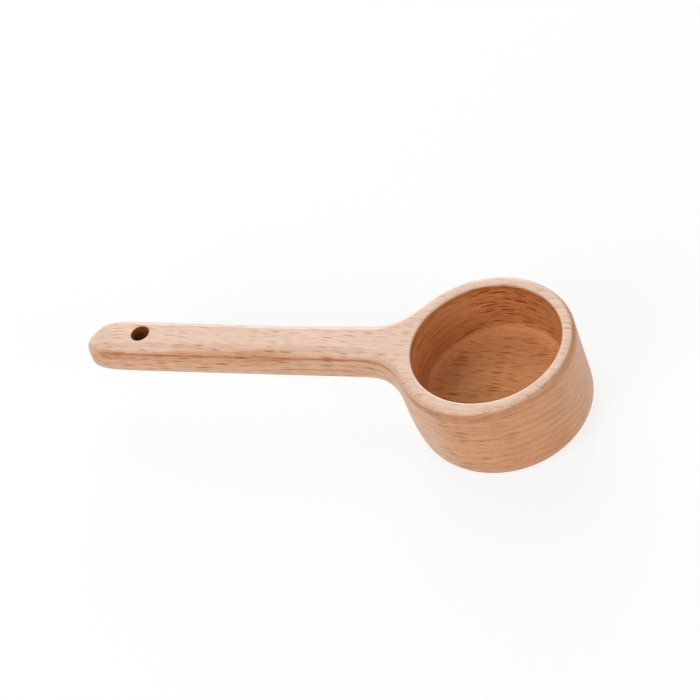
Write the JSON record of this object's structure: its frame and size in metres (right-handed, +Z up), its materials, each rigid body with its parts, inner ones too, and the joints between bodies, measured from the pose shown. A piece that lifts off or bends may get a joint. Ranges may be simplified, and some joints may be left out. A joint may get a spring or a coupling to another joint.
{
  "type": "wooden ladle",
  "caption": "Small scoop ladle carved from one piece of wood: a straight-walled round bowl and a short squared handle flush with its rim, with a hanging hole near the tip.",
  "frame": {"origin": "centre of the bowl's flat base", "axes": "+Z up, out of the bowl's mouth; the handle points along -X, so +X runs from the handle's tip to the far side of the bowl; +Y across"},
  "size_m": [0.1498, 0.0512, 0.0284],
  "materials": {
    "beech": "sanded satin beech with fine ray flecks along the handle"
  },
  "bodies": {
    "root": {"ladle_body": "beech"}
  },
  "joints": []
}
